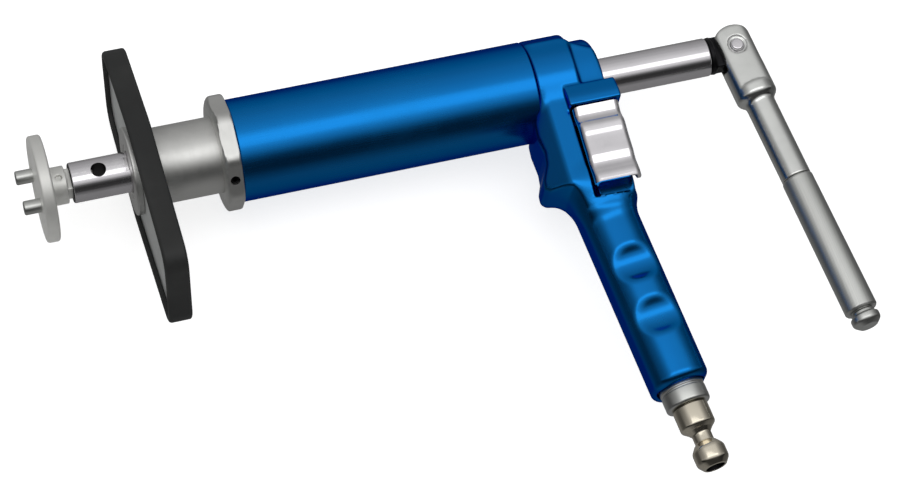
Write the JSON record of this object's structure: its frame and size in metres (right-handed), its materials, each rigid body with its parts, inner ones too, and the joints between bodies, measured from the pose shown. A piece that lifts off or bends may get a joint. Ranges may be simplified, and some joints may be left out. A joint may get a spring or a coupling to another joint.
{
  "type": "air brake piston wind-back tool",
  "caption": "Air-powered brake piston wind-back tool with a pin adaptor, reaction plate, blue barrel, pistol grip with trigger and air plug, and a hinged winding handle.",
  "frame": {"origin": "centre of the adaptor's working face, on the spindle's axis", "axes": "+X runs along the spindle from the adaptor back to the handle, -Y runs from the spindle down to the grip's end, +Z is the tool's left side, where the trigger is, so the tool lies on its right side"},
  "size_m": [0.325, 0.2293, 0.073],
  "materials": {
    "blue_anodised": "satin blue anodised aluminium",
    "satin_aluminium": "satin machined aluminium",
    "pale_disc": "pale satin cast metal",
    "polished_steel": "ground and polished steel",
    "satin_steel": "satin steel",
    "chrome_steel": "bright chrome",
    "nickel": "warm nickel plate on brass",
    "black_oxide": "black oxide steel",
    "plate_grey": "grey zinc-coated steel",
    "black_rubber": "moulded black rubber",
    "bearing_bronze": "bearing bronze",
    "seal_rubber": "nitrile seal rubber"
  },
  "bodies": {
    "housing": {"nose_tube": "satin_aluminium", "nose_ring": "satin_aluminium", "front_bush": "bearing_bronze", "gland_bush": "bearing_bronze", "gland_rod_seal": "seal_rubber", "wiper_seal": "seal_rubber", "barrel_seal": "seal_rubber", "lock_collar": "satin_aluminium", "collar_set_screw": "black_oxide", "barrel": "blue_anodised", "head_and_grip": "blue_anodised", "rear_bush": "bearing_bronze", "rear_rod_seal": "seal_rubber", "trigger_pin": "satin_steel", "valve_bush": "bearing_bronze", "valve_spring": "satin_steel", "valve_cap": "black_oxide", "inlet_washer": "seal_rubber", "inlet_bush": "satin_steel", "air_plug": "nickel", "return_spring": "satin_steel"},
    "ram": {"piston": "satin_aluminium", "piston_seal": "seal_rubber", "piston_wear_ring": "bearing_bronze", "front_thrust_washer": "bearing_bronze", "rear_thrust_washer": "bearing_bronze"},
    "screw": {"spindle": "polished_steel", "rear_shaft": "polished_steel", "shaft_lock_pin": "satin_steel", "swivel_knuckle": "black_oxide"},
    "handle": {"handle_fork": "polished_steel", "hinge_pin": "polished_steel", "handle_sleeve": "satin_steel", "handle_end_cap": "satin_steel"},
    "adaptor": {"adaptor_disc": "pale_disc", "drive_pin_upper": "satin_steel", "drive_pin_lower": "satin_steel", "adaptor_magnet": "nickel"},
    "plate": {"plate_core": "plate_grey", "plate_rim": "black_rubber"},
    "trigger": {"trigger": "chrome_steel"},
    "valve": {"valve_stem": "satin_steel", "valve_seal": "seal_rubber"}
  },
  "joints": [
    {"name": "ram_stroke", "type": "slide", "parent": "housing", "child": "ram", "axis": [-1, 0, 0], "range_m": [0, 0.042], "stiffness_N_per_m": 300, "springref_m": -0.03, "deforming": ["return_spring"]},
    {"name": "spindle_turn", "type": "hinge", "parent": "ram", "child": "screw", "pos_m": [0.1, 0, 0], "axis": [1, 0, 0], "continuous": true},
    {"name": "handle_fold", "type": "hinge", "parent": "screw", "child": "handle", "pos_m": [0.2944, 0, 0], "axis": [0, 0, 1], "range_deg": [-7.5, 172.5]},
    {"name": "adaptor_pull", "type": "slide", "parent": "screw", "child": "adaptor", "axis": [-1, 0, 0], "range_m": [0, 0.012]},
    {"name": "plate_turn", "type": "hinge", "parent": "housing", "child": "plate", "pos_m": [0.0401, 0, 0], "axis": [1, 0, 0], "continuous": true},
    {"name": "trigger_press", "type": "hinge", "parent": "housing", "child": "trigger", "pos_m": [0.225, -0.0236, 0.012], "axis": [1, 0, 0], "range_deg": [0, 7.5], "stiffness_Nm_per_rad": 0.4, "springref_deg": -11.46},
    {"name": "valve_slide", "type": "slide", "parent": "housing", "child": "valve", "axis": [0, 0, -1], "range_m": [0, 0.0026], "deforming": ["valve_spring"]}
  ],
  "couplings": [
    {"joint": "valve_slide", "follows": "trigger_press", "m_per_rad": 0.0184}
  ]
}
